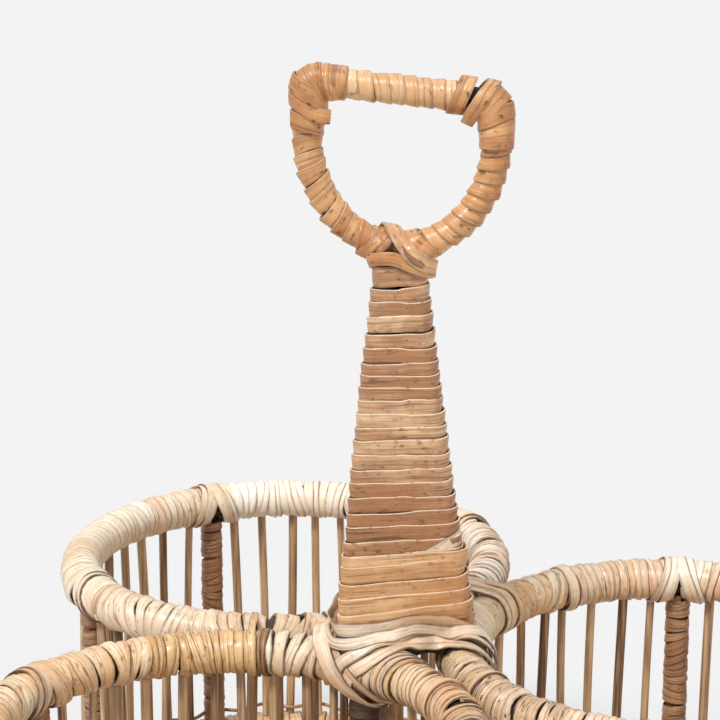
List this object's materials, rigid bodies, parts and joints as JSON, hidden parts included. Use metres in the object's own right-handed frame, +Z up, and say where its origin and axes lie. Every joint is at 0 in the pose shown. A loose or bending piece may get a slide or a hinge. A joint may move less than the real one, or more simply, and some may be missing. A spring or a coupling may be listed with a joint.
{
  "type": "wine bottle basket",
  "caption": "Carrying basket of cane-wrapped rattan rings with spindle walls round a central stem, each ring for a bottle, under a wrapped D-shaped handle.",
  "frame": {"origin": "on the surface the basket stands on, below the middle of its box", "axes": "+Z up along the stem; +X from the stem towards the middle of the first ring; the handle's bar lies along X"},
  "size_m": [0.308, 0.3302, 0.3032],
  "materials": {
    "rim_cane": "peeled binding cane, semi-gloss, pale cream to honey",
    "base_cane": "peeled binding cane, semi-gloss",
    "stem_cane": "binding cane with brown bands, semi-gloss",
    "handle_cane": "honey binding cane, semi-gloss",
    "brown_cane": "brown unpeeled cane, satin",
    "rattan_pole": "rattan pole, satin",
    "spindle_reed": "round reed, satin",
    "floor_board": "plain thin board, matt"
  },
  "bodies": {
    "root": {"bar_binding": "handle_cane", "base_hoop_1": "base_cane", "base_hoop_2": "base_cane", "base_hoop_3": "base_cane", "bow_binding": "handle_cane", "corner_lashing_left": "handle_cane", "corner_lashing_right": "handle_cane", "floor_board_1": "floor_board", "floor_board_2": "floor_board", "floor_board_3": "floor_board", "foot_binding": "stem_cane", "handle_bar": "rattan_pole", "handle_bow": "rattan_pole", "neck_binding": "handle_cane", "post_1_1": "spindle_reed", "post_1_2": "spindle_reed", "post_1_4": "spindle_reed", "post_2_1": "spindle_reed", "post_2_2": "spindle_reed", "post_2_4": "spindle_reed", "post_3_1": "spindle_reed", "post_3_2": "spindle_reed", "post_3_4": "spindle_reed", "post_binding_1_1": "brown_cane", "post_binding_1_2": "brown_cane", "post_binding_1_3": "brown_cane", "post_binding_1_4": "brown_cane", "post_binding_2_1": "brown_cane", "post_binding_2_2": "brown_cane", "post_binding_2_3": "brown_cane", "post_binding_2_4": "brown_cane", "post_binding_3_1": "brown_cane", "post_binding_3_2": "brown_cane", "post_binding_3_3": "brown_cane", "post_binding_3_4": "brown_cane", "rim_binding_1": "rim_cane", "rim_binding_2": "rim_cane", "rim_binding_3": "rim_cane", "rim_hoop_1": "rattan_pole", "rim_hoop_2": "rattan_pole", "rim_hoop_3": "rattan_pole", "rim_lashing_1": "brown_cane", "rim_lashing_2": "brown_cane", "rim_lashing_3": "brown_cane", "spindle_bay_1_1": "spindle_reed", "spindle_bay_1_2": "spindle_reed", "spindle_bay_1_3": "spindle_reed", "spindle_bay_1_4": "spindle_reed", "spindle_bay_2_1": "spindle_reed", "spindle_bay_2_2": "spindle_reed", "spindle_bay_2_3": "spindle_reed", "spindle_bay_2_4": "spindle_reed", "spindle_bay_3_1": "spindle_reed", "spindle_bay_3_2": "spindle_reed", "spindle_bay_3_3": "spindle_reed", "spindle_bay_3_4": "spindle_reed", "stem_binding": "stem_cane", "stem_rod_1": "rattan_pole", "stem_rod_2": "rattan_pole", "stem_rod_3": "rattan_pole"}
  },
  "joints": []
}
